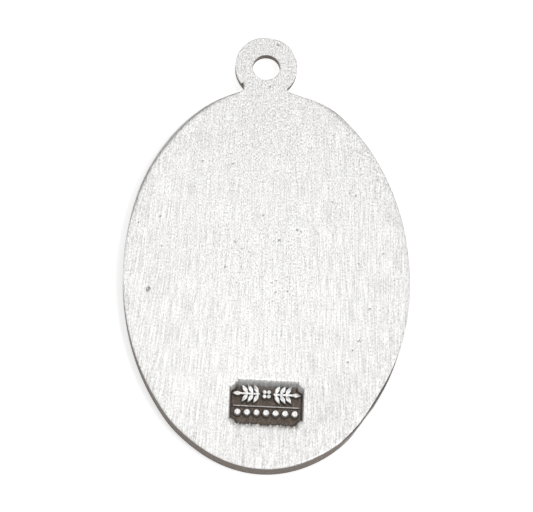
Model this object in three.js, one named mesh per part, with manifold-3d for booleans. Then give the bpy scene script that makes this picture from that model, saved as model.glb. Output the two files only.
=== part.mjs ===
// A religious medal pendant: one cast silver solid, lying on its face with its plain back up.
// An oval plate carries a flat loop at its top edge, flush with the back. The front has a raised rim
// and a low Latin cross. The back has a small sunken panel with a raised rosette, two leafy sprigs
// and a row of pearls. +Z points up out of the back, +Y from the plate towards the loop.
import * as THREE from "three";
import { mergeVertices } from "three/addons/utils/BufferGeometryUtils.js";
import Module from "manifold-3d";

// Plate, in millimetres like every length here.
const PLATE_WIDTH = 20;
const PLATE_HEIGHT = 27.7;
const PLATE_THICKNESS = 1.8;
const PLATE_WALL_DRAFT = 0.02; // how much less far the wall stands out at the front
const BACK_EDGE_ROUND = 0.1;
const FRONT_EDGE_ROUND = 0.14;

// Loop at the top edge, with a slightly oval hole.
const LOOP_DIAMETER = 4.4;
const LOOP_THICKNESS = 0.95;
const LOOP_OVERLAP = 0.52; // how deep the loop's circle runs into the plate
const LOOP_FRONT_ROUND = 0.26; // the loop's outer edge on its front
const NECK_FILLET = 0.32;
const HOLE_WIDTH = 1.94;
const HOLE_HEIGHT = 1.74;
const HOLE_FRONT_ROUND = 0.22;
const HOLE_BACK_ROUND = 0.08;

// Front: the rim, the sunken field inside it and the cross that stands on the field.
const RIM_WIDTH = 1.1;
const FIELD_DEPTH = 0.45;
const FIELD_WALL_SLOPE = 0.25;
const INNER_LINE_GAP = 0.45; // from the foot of the rim to the fine line inside it
const INNER_LINE_WIDTH = 0.3;
const INNER_LINE_HEIGHT = 0.15;
const CROSS_HEIGHT = 15;
const CROSS_SPAN = 9.4;
const CROSS_ARM_WIDTH = 1.7;
const CROSS_END_WIDTH = 2.6;
const CROSS_BAR_ABOVE_MIDDLE = 2.6;
const CROSS_RELIEF = 0.34;
const CROSS_SLOPE = 0.22;

// Back: the sunken panel and what stands up in it.
const PANEL_WIDTH = 5.1;
const PANEL_HEIGHT = 3.2;
const PANEL_CORNER_SCOOP = 0.42;
const PANEL_DEPTH = 0.4;
const PANEL_WALL_SLOPE = 0.1;
const PANEL_BELOW_MIDDLE = 9.13;
const PANEL_TURN = -2; // degrees: the panel was struck slightly turned
const RELIEF_BELOW_BACK = 0.04; // how far the ornament's tops lie under the back
const RELIEF_SLOPE = 0.05;
const SPRIG_ROW_ABOVE_PANEL_MIDDLE = 0.6;
const SPRIG_START = 0.46;
const SPRIG_END = 1.72;
const STEM_WIDTH = 0.16;
const LEAF_LENGTH = 0.76;
const LEAF_WIDTH = 0.3;
const PETAL_RADIUS = 0.2;
const PETAL_OFFSET = 0.22;
const PEARL_COUNT = 7;
const PEARL_DIAMETER = 0.62;
const PEARL_PITCH = 0.66;
const PEARL_ROW_BELOW_PANEL_MIDDLE = 0.72;
const RULE_WIDTH = 0.1;
const RULE_HEIGHT = 0.16;
const RULE_BELOW_PANEL_MIDDLE = 0.24;

// Each leaf of one sprig: its foot as a share of the stem, its lean from the stem in degrees
// and its length as a share of the leaf length.
const SPRIG_LEAVES = [
  { foot: 0.08, lean: 62, size: 0.92 },
  { foot: 0.37, lean: 58, size: 1.0 },
  { foot: 0.66, lean: 54, size: 0.96 },
];
const END_LEAF_SIZE = 0.86;

const OUTLINE_STEPS = 128;
const LOOP_STEPS = 36;
const HOLE_STEPS = 28;
const FILLET_STEPS = 5;
const ROUND_STEPS = 3; // facets across each rounded edge
const EMBED = 0.1; // how far one form runs into another before they are joined
const SEARCH_STEPS = 50;

const wasm = await Module();
wasm.setup();

function solidOf(geometry) {
  const bare = geometry.clone();
  bare.deleteAttribute("normal");
  bare.deleteAttribute("uv");
  const merged = mergeVertices(bare, 1e-5);
  return new wasm.Manifold(
    new wasm.Mesh({
      numProp: 3,
      vertProperties: merged.attributes.position.array,
      triVerts: new Uint32Array(merged.index.array),
    }),
  );
}

function geometryOf(solid) {
  const mesh = solid.getMesh();
  const geometry = new THREE.BufferGeometry();
  geometry.setAttribute("position", new THREE.BufferAttribute(mesh.vertProperties, 3));
  geometry.setIndex(new THREE.BufferAttribute(mesh.triVerts, 1));
  const flat = geometry.toNonIndexed();
  flat.computeVertexNormals();
  return flat;
}

// A closed body through outlines of equally many points, from the lowest level to the highest.
function loft(levels) {
  const count = levels[0].outline.length;
  const positions = levels.flatMap(({ outline, z }) => outline.flatMap((p) => [p.x, p.y, z]));
  const index = [];
  for (let level = 0; level < levels.length - 1; level++) {
    for (let i = 0; i < count; i++) {
      const a = level * count + i;
      const b = level * count + ((i + 1) % count);
      index.push(a, b, b + count, a, b + count, a + count);
    }
  }
  const top = (levels.length - 1) * count;
  for (const [a, b, c] of THREE.ShapeUtils.triangulateShape(levels[0].outline, [])) {
    index.push(a, c, b);
  }
  for (const [a, b, c] of THREE.ShapeUtils.triangulateShape(levels.at(-1).outline, [])) {
    index.push(top + a, top + b, top + c);
  }
  const geometry = new THREE.BufferGeometry();
  geometry.setAttribute("position", new THREE.Float32BufferAttribute(positions, 3));
  geometry.setIndex(index);
  return geometry;
}

// The steps of a rounded edge: how far each level lies from the face and from the wall.
function roundedEdge(radius) {
  return Array.from({ length: ROUND_STEPS + 1 }, (_, i) => {
    const angle = (Math.PI / 2) * (i / ROUND_STEPS);
    return { fromFace: radius * (1 - Math.sin(angle)), fromWall: radius * (1 - Math.cos(angle)) };
  });
}

// Levels of a slab whose two edges are rounded; outlineAt(inset) gives the outline drawn in by inset.
function slabLevels(outlineAt, low, high, lowRound, highRound, draft) {
  const lowLevels = roundedEdge(lowRound)
    .reverse()
    .map(({ fromFace, fromWall }) => ({ z: low + fromFace, outline: outlineAt(draft + fromWall) }));
  const highLevels = roundedEdge(highRound).map(({ fromFace, fromWall }) => ({
    z: high - fromFace,
    outline: outlineAt(fromWall),
  }));
  return [...lowLevels, ...highLevels];
}

function ellipsePoint(halfWidth, halfHeight, angle, outward) {
  const normal = new THREE.Vector2(Math.cos(angle) / halfWidth, Math.sin(angle) / halfHeight).normalize();
  const point = new THREE.Vector2(halfWidth * Math.cos(angle), halfHeight * Math.sin(angle));
  return point.addScaledVector(normal, outward);
}

function ellipseOutline(halfWidth, halfHeight, inset, steps) {
  return Array.from({ length: steps }, (_, i) =>
    ellipsePoint(halfWidth, halfHeight, (2 * Math.PI * i) / steps, -inset),
  );
}

function plateOutline(inset) {
  return ellipseOutline(PLATE_WIDTH / 2, PLATE_HEIGHT / 2, inset, OUTLINE_STEPS);
}

const LOOP_RADIUS = LOOP_DIAMETER / 2;
const LOOP_CENTRE = new THREE.Vector2(0, PLATE_HEIGHT / 2 + LOOP_RADIUS - LOOP_OVERLAP);

// The fillet between the plate and the loop touches both: its centre lies one fillet radius off the
// plate, so the angle on the plate is searched for where it is also one radius off the loop.
function neckFillet() {
  let near = Math.PI / 2;
  let far = 0;
  for (let i = 0; i < SEARCH_STEPS; i++) {
    const middle = (near + far) / 2;
    const centre = ellipsePoint(PLATE_WIDTH / 2, PLATE_HEIGHT / 2, middle, NECK_FILLET);
    if (centre.distanceTo(LOOP_CENTRE) < LOOP_RADIUS + NECK_FILLET) near = middle;
    else far = middle;
  }
  const onPlate = ellipsePoint(PLATE_WIDTH / 2, PLATE_HEIGHT / 2, near, 0);
  const centre = ellipsePoint(PLATE_WIDTH / 2, PLATE_HEIGHT / 2, near, NECK_FILLET);
  return { centre, plateAngle: onPlate.sub(centre).angle(), loopAngle: LOOP_CENTRE.clone().sub(centre).angle() };
}

function arc(centre, radius, from, to, steps) {
  return Array.from({ length: steps + 1 }, (_, i) => {
    const angle = from + ((to - from) * i) / steps;
    return new THREE.Vector2(centre.x + radius * Math.cos(angle), centre.y + radius * Math.sin(angle));
  });
}

// The loop's outline, from inside the plate up the right fillet, round the loop and down the left one.
function loopOutline(inset) {
  const { centre, plateAngle, loopAngle } = neckFillet();
  const right = arc(centre, NECK_FILLET + inset, plateAngle, loopAngle, FILLET_STEPS);
  const from = centre.clone().sub(LOOP_CENTRE).angle() - 2 * Math.PI;
  const round = arc(LOOP_CENTRE, LOOP_RADIUS - inset, from, Math.PI - from, LOOP_STEPS).slice(1, -1);
  const left = right.map((p) => new THREE.Vector2(-p.x, p.y)).reverse();
  const foot = right[0].clone().sub(centre).setLength(2 * LOOP_OVERLAP);
  const root = right[0].clone().add(foot);
  return [new THREE.Vector2(-root.x, root.y), root, ...right, ...round, ...left];
}

function loopHole() {
  const low = PLATE_THICKNESS - LOOP_THICKNESS;
  const outlineAt = (flare) =>
    ellipseOutline(HOLE_WIDTH / 2, HOLE_HEIGHT / 2, -flare, HOLE_STEPS).map((p) => p.add(LOOP_CENTRE));
  const lowLevels = roundedEdge(HOLE_FRONT_ROUND)
    .reverse()
    .map(({ fromFace, fromWall }) => ({ z: low + fromFace, outline: outlineAt(fromWall) }));
  const highLevels = roundedEdge(HOLE_BACK_ROUND).map(({ fromFace, fromWall }) => ({
    z: PLATE_THICKNESS - fromFace,
    outline: outlineAt(fromWall),
  }));
  return solidOf(
    loft([
      { z: low - EMBED, outline: outlineAt(HOLE_FRONT_ROUND) },
      ...lowLevels,
      ...highLevels,
      { z: PLATE_THICKNESS + EMBED, outline: outlineAt(HOLE_BACK_ROUND) },
    ]),
  );
}

// A form with sloping sides between two heights, wider by slope at the end where it stands.
function relief(outlineAt, foot, top, slope) {
  const lower = { z: Math.min(foot, top), outline: outlineAt(foot < top ? slope : 0) };
  const upper = { z: Math.max(foot, top), outline: outlineAt(foot < top ? 0 : slope) };
  return loft([lower, upper]);
}

function frontField() {
  const outlineAt = (inset) => plateOutline(RIM_WIDTH + inset);
  return solidOf(
    loft([
      { z: -EMBED, outline: outlineAt(0) },
      { z: 0, outline: outlineAt(0) },
      { z: FIELD_DEPTH, outline: outlineAt(FIELD_WALL_SLOPE) },
    ]),
  );
}

function innerLine() {
  const outer = RIM_WIDTH + FIELD_WALL_SLOPE + INNER_LINE_GAP;
  const low = FIELD_DEPTH - INNER_LINE_HEIGHT;
  const high = FIELD_DEPTH + EMBED;
  const slope = INNER_LINE_WIDTH / 4;
  const ridge = relief((grow) => plateOutline(outer + slope - grow), high, low, slope);
  const inside = relief((grow) => plateOutline(outer + INNER_LINE_WIDTH - slope + grow), high, low - EMBED, slope);
  return solidOf(ridge).subtract(solidOf(inside));
}

// A Latin cross with arms that widen to their ends, seen from the front, which is mirrored here.
function crossOutline(grow) {
  const arm = CROSS_ARM_WIDTH / 2 + grow;
  const end = CROSS_END_WIDTH / 2 + grow;
  const side = CROSS_SPAN / 2 + grow;
  const top = CROSS_HEIGHT / 2 + grow;
  const bar = CROSS_BAR_ABOVE_MIDDLE;
  return [
    [end, -top],
    [arm, bar - arm],
    [side, bar - end],
    [side, bar + end],
    [arm, bar + arm],
    [end, top],
    [-end, top],
    [-arm, bar + arm],
    [-side, bar + end],
    [-side, bar - end],
    [-arm, bar - arm],
    [-end, -top],
  ].map(([x, y]) => new THREE.Vector2(x, y));
}

function frontCross() {
  return solidOf(relief(crossOutline, FIELD_DEPTH + EMBED, FIELD_DEPTH - CROSS_RELIEF, CROSS_SLOPE));
}

const PANEL_GROUND = PLATE_THICKNESS - PANEL_DEPTH;
const RELIEF_TOP = PLATE_THICKNESS - RELIEF_BELOW_BACK;

// The panel and its ornament are drawn round the panel's own middle and put in their place here.
function inPanel(geometry) {
  geometry.rotateZ(THREE.MathUtils.degToRad(PANEL_TURN));
  geometry.translate(0, -PANEL_BELOW_MIDDLE, 0);
  return solidOf(geometry);
}

// The panel's outline: a rectangle with its four corners scooped out.
function panelOutline(inset) {
  const halfWidth = PANEL_WIDTH / 2;
  const halfHeight = PANEL_HEIGHT / 2;
  const scoop = PANEL_CORNER_SCOOP + inset;
  const start = Math.asin(inset / scoop);
  const corners = [
    [halfWidth, -halfHeight, Math.PI - start, Math.PI / 2 + start],
    [halfWidth, halfHeight, (3 * Math.PI) / 2 - start, Math.PI + start],
    [-halfWidth, halfHeight, 2 * Math.PI - start, (3 * Math.PI) / 2 + start],
    [-halfWidth, -halfHeight, Math.PI / 2 - start, start],
  ];
  return corners.flatMap(([x, y, from, to]) =>
    arc(new THREE.Vector2(x, y), scoop, from, to, FILLET_STEPS),
  );
}

function panel() {
  return inPanel(
    loft([
      { z: PANEL_GROUND, outline: panelOutline(PANEL_WALL_SLOPE) },
      { z: PLATE_THICKNESS, outline: panelOutline(0) },
      { z: PLATE_THICKNESS + EMBED, outline: panelOutline(0) },
    ]),
  );
}

function place(outline, middle, turn) {
  const origin = new THREE.Vector2();
  return outline.map((p) => p.clone().rotateAround(origin, turn).add(middle));
}

// A pointed leaf that starts at its foot and runs along +X.
function leafOutline(length, width, grow) {
  const steps = 6;
  const upper = Array.from({ length: steps }, (_, i) => {
    const share = i / steps;
    return new THREE.Vector2(
      share * length + grow * (2 * share - 1),
      (width / 2) * Math.sin(Math.PI * share ** 0.85) + grow,
    );
  });
  const tip = new THREE.Vector2(length + grow, 0);
  const lower = upper.map((p) => new THREE.Vector2(p.x, -p.y));
  return [...lower, tip, ...upper.reverse()];
}

function standInPanel(outlineAt, top = RELIEF_TOP) {
  return inPanel(relief(outlineAt, PANEL_GROUND - EMBED, top, RELIEF_SLOPE));
}

// One sprig on the side given by +1 or -1: a stem, paired leaves and an end leaf.
function sprig(side) {
  const along = side > 0 ? 0 : Math.PI;
  const stemLength = SPRIG_END - SPRIG_START;
  const footAt = (share) =>
    new THREE.Vector2(side * (SPRIG_START + share * stemLength), SPRIG_ROW_ABOVE_PANEL_MIDDLE);
  const stem = standInPanel((grow) => {
    const half = STEM_WIDTH / 2 + grow;
    return [
      new THREE.Vector2(-grow, -half),
      new THREE.Vector2(stemLength + grow, -half),
      new THREE.Vector2(stemLength + grow, half),
      new THREE.Vector2(-grow, half),
    ].map((p) => p.rotateAround(new THREE.Vector2(), along).add(footAt(0)));
  });
  const pairs = SPRIG_LEAVES.flatMap(({ foot, lean, size }) =>
    [1, -1].map((way) =>
      standInPanel((grow) =>
        place(
          leafOutline(LEAF_LENGTH * size, LEAF_WIDTH, grow),
          footAt(foot),
          along + side * way * THREE.MathUtils.degToRad(lean),
        ),
      ),
    ),
  );
  const end = standInPanel((grow) =>
    place(leafOutline(LEAF_LENGTH * END_LEAF_SIZE, LEAF_WIDTH, grow), footAt(1), along),
  );
  return [stem, ...pairs, end];
}

function rosette() {
  const middle = new THREE.Vector2(0, SPRIG_ROW_ABOVE_PANEL_MIDDLE);
  return [0, 1, 2, 3].map((quarter) => {
    const angle = Math.PI / 4 + (quarter * Math.PI) / 2;
    const petal = new THREE.Vector2(PETAL_OFFSET, 0).rotateAround(new THREE.Vector2(), angle).add(middle);
    return standInPanel((grow) => arc(petal, PETAL_RADIUS + grow, 0, 2 * Math.PI, 12).slice(0, -1));
  });
}

function pearls() {
  const radius = PEARL_DIAMETER / 2;
  return Array.from({ length: PEARL_COUNT }, (_, i) => {
    const x = (i - (PEARL_COUNT - 1) / 2) * PEARL_PITCH;
    const bead = new THREE.SphereGeometry(radius, 10, 8);
    bead.rotateX(Math.PI / 2);
    bead.scale(1, 1, (RELIEF_TOP - PANEL_GROUND) / radius);
    bead.translate(x, -PEARL_ROW_BELOW_PANEL_MIDDLE, PANEL_GROUND);
    return inPanel(bead);
  });
}

function rule() {
  const half = (PEARL_COUNT * PEARL_PITCH) / 2;
  const y = -RULE_BELOW_PANEL_MIDDLE;
  return standInPanel((grow) => {
    const across = RULE_WIDTH / 2 + grow;
    const along = half + grow;
    return [
      new THREE.Vector2(-along, y - across),
      new THREE.Vector2(along, y - across),
      new THREE.Vector2(along, y + across),
      new THREE.Vector2(-along, y + across),
    ];
  }, PANEL_GROUND + RULE_HEIGHT);
}

function medalSolid() {
  const plate = solidOf(
    loft(
      slabLevels(plateOutline, 0, PLATE_THICKNESS, FRONT_EDGE_ROUND, BACK_EDGE_ROUND, PLATE_WALL_DRAFT),
    ),
  );
  const loop = solidOf(
    loft(
      slabLevels(
        loopOutline,
        PLATE_THICKNESS - LOOP_THICKNESS,
        PLATE_THICKNESS,
        LOOP_FRONT_ROUND,
        BACK_EDGE_ROUND,
        0,
      ),
    ),
  );
  const blank = plate.add(loop).subtract(loopHole());
  const front = blank.subtract(frontField()).add(innerLine()).add(frontCross());
  const sunk = front.subtract(panel());
  return [rule(), ...rosette(), ...sprig(1), ...sprig(-1), ...pearls()].reduce(
    (whole, form) => whole.add(form),
    sunk,
  );
}

const silver = new THREE.MeshStandardMaterial({ color: 0xe2e0dc, roughness: 0.45, metalness: 1 });

const medal = new THREE.Mesh(geometryOf(medalSolid()), silver);
medal.name = "medal";

// The origin is under the middle of the whole outline, on the surface that the rim lies on.
const pendant = new THREE.Group();
pendant.name = "pendant";
pendant.add(medal);
pendant.position.y = -(LOOP_CENTRE.y + LOOP_RADIUS - PLATE_HEIGHT / 2) / 2;

export default pendant;
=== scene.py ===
# An oval silver medal with a flat loop, built round the packed part and laid out as an add-on.
# Everything is in metres in the part's own frame: the medal lies on its raised front rim with its
# plain back up, +Y runs from the plate to the loop and +Z out of the back.
import math
from typing import NamedTuple

import bpy
import numpy as np
from mathutils import Matrix, Vector, noise
from mathutils.geometry import delaunay_2d_cdt


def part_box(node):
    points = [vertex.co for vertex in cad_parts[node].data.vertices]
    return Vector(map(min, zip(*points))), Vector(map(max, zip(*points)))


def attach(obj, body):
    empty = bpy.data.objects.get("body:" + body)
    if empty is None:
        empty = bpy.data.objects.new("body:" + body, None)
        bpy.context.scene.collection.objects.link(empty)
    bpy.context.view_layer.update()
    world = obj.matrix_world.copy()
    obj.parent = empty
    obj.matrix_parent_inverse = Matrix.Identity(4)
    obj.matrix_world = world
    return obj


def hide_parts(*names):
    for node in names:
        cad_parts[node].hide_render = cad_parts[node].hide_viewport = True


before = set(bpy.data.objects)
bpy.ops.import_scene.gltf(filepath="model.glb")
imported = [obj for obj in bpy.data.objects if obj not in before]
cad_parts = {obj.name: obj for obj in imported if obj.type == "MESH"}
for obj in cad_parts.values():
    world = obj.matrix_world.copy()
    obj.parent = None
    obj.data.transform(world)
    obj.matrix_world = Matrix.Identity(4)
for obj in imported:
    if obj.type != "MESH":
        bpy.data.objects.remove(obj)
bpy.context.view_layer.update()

bl_info = {
    "name": "Oval silver medal",
    "version": (1, 0, 0),
    "blender": (4, 5, 0),
    "location": "3D View > Sidebar > Medal",
    "description": "Builds a worn oval silver medal with a loop, a sunken panel and a cross",
    "category": "Add Mesh",
}

MM = 0.001
NODE_LOW, NODE_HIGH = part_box("medal")
IMAGE_WIDTH = 533  # the photograph's frame, in pixels
MATERIAL = "worn_silver"
OXIDE_AND_SHADE = "oxide"  # the point attribute that holds how dark the metal is: its oxide, with painted shade and light mixed in
PANEL_LIP = 0.05 * MM  # how far the panel's rounded lip reaches on to the back
SHARP_FROM = math.radians(38)  # edges that turn more than this are shaded sharp
OVERHEAD_PLACE = (-0.01, 0.14, 0.42)
SIDE_PLACE = (0.125, -0.07, 0.42)


# Helpers for the properties

def real_number(name, description, default, **more):
    return bpy.props.FloatProperty(name=name, description=description, default=default, **more)


def length(name, description, millimetres):
    return real_number(name, description, millimetres * MM, unit="LENGTH", precision=5)


def share(name, description, default):
    return real_number(name, description, default, min=0.0, max=1.0, subtype="FACTOR")


def turn(name, description, degrees):
    return real_number(name, description, math.radians(degrees), subtype="ANGLE")


def count(name, description, default):
    return bpy.props.IntProperty(name=name, description=description, default=default, min=1)


def colour(name, description, default):
    return bpy.props.FloatVectorProperty(
        name=name, description=description, default=default, size=3, subtype="COLOR"
    )


class MedalPlateSizes(bpy.types.PropertyGroup):
    """The oval plate."""

    width: length("Width", "Width of the oval plate", (NODE_HIGH.x - NODE_LOW.x) / MM)
    thickness: length("Thickness", "From the rim to the back", (NODE_HIGH.z - NODE_LOW.z) / MM)
    draft: length("Draft", "How much narrower the plate is at the front", 0.02)
    back_round: length("Back edge round", "Radius of the edge round the back", 0.025)
    pillow: length("Pillow", "How far the back falls towards its edge", 0.04)
    pillow_reach: length("Pillow reach", "Width of the border where the back falls", 2.2)
    front_round: length("Front edge round", "Radius of the edge round the front", 0.05)
    ripple: length("Ripple", "Height of the soft unevenness of the back", 0.006)
    edge_points: count("Edge points", "Points round the plate", 480)
    mesh_step: length("Mesh step", "Distance between points on the back", 0.16)


class MedalLoopSizes(bpy.types.PropertyGroup):
    """The loop at the top edge and its hole."""

    diameter: length("Diameter", "Diameter of the loop", 4.4)
    thickness: length("Thickness", "Thickness of the loop", 0.95)
    overlap: length("Overlap", "How deep the loop's circle runs into the plate", 0.52)
    back_round: length("Back edge round", "Radius of the loop's outer edge on its back", 0.02)
    front_round: length("Front edge round", "Radius of the loop's outer edge on its front", 0.26)
    left_fillet: length("Left fillet", "Radius between the loop and the plate, left", 0.32)
    right_fillet: length("Right fillet", "Radius between the loop and the plate, right", 0.16)
    hole_width: length("Hole width", "Width of the hole", 1.94)
    hole_height: length("Hole height", "Height of the hole", 1.87)
    hole_drop: length("Hole drop", "How far the hole lies under the loop's middle", 0.07)
    hole_back_round: length("Hole back round", "Radius of the hole's edge on its back", 0.025)
    hole_front_round: length("Hole front round", "Radius of the hole's edge on its front", 0.22)
    mesh_step: length("Mesh step", "Distance between points on the loop", 0.12)


class MedalFrontSizes(bpy.types.PropertyGroup):
    """The raised rim, the fine line and the cross on the front."""

    rim_width: length("Rim width", "Width of the raised rim", 1.1)
    depth: length("Field depth", "How far the field lies under the rim", 0.45)
    slope: length("Rim slope", "Width of the slope inside the rim", 0.25)
    line_gap: length("Line gap", "From the rim's foot to the fine line", 0.45)
    line_width: length("Line width", "Width of the fine line", 0.3)
    line_height: length("Line height", "Height of the fine line", 0.15)
    cross_height: length("Cross height", "Height of the cross", 15)
    cross_span: length("Cross span", "Width of the cross", 9.4)
    arm_width: length("Arm width", "Width of the arms where they meet", 1.7)
    end_width: length("End width", "Width of the arms at their ends", 2.6)
    bar_height: length("Bar height", "How far the bar lies above the middle", 2.6)
    relief: length("Relief", "Height of the cross", 0.34)
    relief_slope: length("Relief slope", "Width of the cross's sloping sides", 0.22)
    mesh_step: length("Mesh step", "Distance between points on the front", 0.3)


class MedalPanelSizes(bpy.types.PropertyGroup):
    """The sunken panel on the back and the ornament in it."""

    width: length("Width", "Width of the panel", 5.1)
    height: length("Height", "Height of the panel", 3.2)
    scoop: length("Corner scoop", "Radius of the scooped corners", 0.42)
    depth: length("Depth", "Depth of the panel", 0.4)
    below_middle: length("Below middle", "From the plate's middle to the panel's", 9.13)
    turned: turn("Turn", "How far the panel was struck turned", -2)
    side_slope: length("Side slope", "Width of the panel's side walls", 0.12)
    top_slope: length("Top slope", "Width of the panel's upper wall", 0.42)
    rag: length("Ragged lip", "How far the brush tore the lower lip", 0.13)
    mesh_step: length("Mesh step", "Distance between points in the panel", 0.05)
    relief_below_back: length("Relief under back", "How far the relief lies under the back", 0.04)
    sprig_above: length("Sprig row", "From the panel's middle up to the sprigs", 0.6)
    sprig_start: length("Sprig start", "Where each sprig's stem starts", 0.46)
    sprig_length: length("Sprig length", "Length of each stem", 1.26)
    stem_width: length("Stem width", "Width of the stems", 0.16)
    leaf_length: length("Leaf length", "Length of a leaf", 0.76)
    leaf_width: length("Leaf width", "Width of a leaf", 0.3)
    end_leaf: share("End leaf", "Length of the end leaf against the others", 0.86)
    leaf_pairs: count("Leaf pairs", "Pairs of leaves on a sprig", 3)
    leaf_lean: turn("Leaf lean", "Angle between the first leaf and the stem", 62)
    petal_radius: length("Petal radius", "Radius of the rosette's petals", 0.2)
    petal_offset: length("Petal offset", "From the rosette's middle to a petal", 0.22)
    pearl_count: count("Pearls", "Pearls in the row", 7)
    pearl_diameter: length("Pearl diameter", "Diameter of a pearl", 0.62)
    pearl_pitch: length("Pearl pitch", "From one pearl to the next", 0.66)
    pearls_below: length("Pearl row", "From the panel's middle down to the pearls", 0.72)
    rule_width: length("Rule width", "Width of the fine rule over the pearls", 0.1)
    rule_height: length("Rule height", "Height of the fine rule", 0.16)
    rule_below: length("Rule row", "From the panel's middle down to the rule", 0.24)


class MedalFinish(bpy.types.PropertyGroup):
    """Colours and textures of the silver."""

    silver: colour("Silver", "Clean brushed silver", (0.90, 0.893, 0.88))
    grey: colour("Grey grain", "Silver in the low spots of the grain", (0.44, 0.432, 0.42))
    dark: colour("Oxide", "Silver that has turned dark", (0.13, 0.099, 0.077))
    worn_dark: colour("Worn oxide", "Dark silver where it is rubbed", (0.245, 0.21, 0.18))
    thick_dark: colour("Thick oxide", "The thickest tarnish", (0.03, 0.022, 0.017))
    roughness: share("Roughness", "Roughness of the clean silver", 0.42)
    grain_size: length("Grain size", "Size of the sandy grain", 0.075)
    grain_share: share("Grain share", "Strength of the sandy grain", 0.86)
    line_width: length("Brush line width", "Width of the fine brush lines", 0.08)
    line_length: length("Brush line length", "Length of the fine brush lines", 1.8)
    line_share: share("Line share", "Strength of the fine brush lines", 0.24)
    streak_width: length("Streak width", "Width of the broad, faint streaks", 0.22)
    streak_length: length("Streak length", "Length of the broad streaks", 7.0)
    streak_share: share("Streak share", "Strength of the broad streaks", 0.06)
    press_reach: length("Brush reach", "From where the brush pressed softly to hard", 14)


class MedalStage(bpy.types.PropertyGroup):
    """Camera, floor and light."""

    distance: length("Camera distance", "From the camera to the back", 301.2)
    tilt: turn("Camera tilt", "How far the camera leans from straight above", 17.5)
    azimuth: turn("Camera azimuth", "Where the camera stands, from +X", 261)
    target_y: length("Target Y", "Where the camera looks, along Y", -0.474)
    focal_pixels: real_number("Focal length", "In pixels of the picture", 4314.0)
    floor_size: length("Floor size", "Width of the floor", 2000)
    floor: colour("Floor", "Colour of the floor", (0.94, 0.94, 0.94))
    floor_glow: real_number("Floor glow", "Light that the table gives from below", 0.58)
    sky: colour("Sky", "Colour of the light from all round", (0.98, 0.99, 1.0))
    sky_strength: real_number("Sky strength", "Brightness of the light from all round", 0.34)
    overhead_power: real_number("Overhead power", "Power of the broad overhead lamp", 0.28, unit="POWER")
    overhead_size: length("Overhead size", "Width of the broad overhead lamp", 300)
    side_power: real_number("Side power", "Power of the small lamp at the lower right", 0.43, unit="POWER")
    side_size: length("Side size", "Width of the small lamp", 100)


GROUPS = {
    "plate": MedalPlateSizes,
    "loop": MedalLoopSizes,
    "front": MedalFrontSizes,
    "panel": MedalPanelSizes,
    "finish": MedalFinish,
    "stage": MedalStage,
}


class Spot(NamedTuple):
    """A soft bump on the edge: where it is and how wide, in degrees, how strong and how far in."""

    angle: float
    spread: float
    amount: float
    reach: float = 0.0


class Pit(NamedTuple):
    """A casting pit on the back, placed from the plate's middle, in millimetres."""

    x: float
    y: float
    radius: float
    depth: float


class StainAndShade(NamedTuple):
    """A dark spot on the back, placed in the same way. The list holds stains, dark blobs and a spot of
    painted shade.
    """

    x: float
    y: float
    width: float
    height: float
    amount: float


# Where the plate's outline was filed, and how far it stands out there, in metres.
FILED_SPOTS = [
    Spot(33, 10, -0.04 * MM),
    Spot(61, 6, 0.08 * MM),
    Spot(76, 5, -0.1 * MM),
    Spot(149, 12, 0.04 * MM),
    Spot(229, 7, 0.05 * MM),
    Spot(299, 10, 0.025 * MM),
    Spot(320, 10, -0.088 * MM),
    Spot(350, 13, 0.05 * MM),
]

# The same for the loop's outline, with the angle round the loop.
LOOP_FILED_SPOTS = [
    Spot(26, 10, -0.05 * MM),
    Spot(80, 17, -0.08 * MM),
]

# Where the edge of the back is rolled over, and how much larger its radius is there.
ROLLED_SPOTS = [
    Spot(104, 6, 0.07 * MM),
    Spot(122, 13, 0.2 * MM),
    Spot(138, 12, 0.19 * MM),
    Spot(156, 10, 0.14 * MM),
    Spot(290, 16, 0.05 * MM),
    Spot(322, 12, 0.07 * MM),
]

# Where the back's edge is darkened, partly by real dirt and partly by painted shade, on the upper left where
# the rolled edge would reflect dark surroundings and on the lower right wall: how dark it is there and how
# far in the darkening reaches.
DIRT_AND_SHADE_SPOTS = [
    Spot(58, 17, 0.34, 0.34 * MM),
    Spot(104, 6, 0.5, 0.06 * MM),
    Spot(116, 15, 0.4, 0.26 * MM),
    Spot(144, 18, 0.34, 0.24 * MM),
    Spot(292, 16, 0.6, 0.04 * MM),
    Spot(308, 7, 1.5, 0.03 * MM),
    Spot(323, 12, 1.7, 0.04 * MM),
]

# Where the plate's edge is left clean and bright, partly by real wear and partly as a painted highlight where
# the edge catches bright light, and how bright.
WEAR_AND_SHEEN_SPOTS = [
    Spot(140, 22, 0.5),
    Spot(172, 11, 0.9),
]

# Where the foot of the plate's wall is rubbed bright, and how bright.
BURNISHED_SPOTS = [
    Spot(312, 9, 0.9),
]

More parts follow.
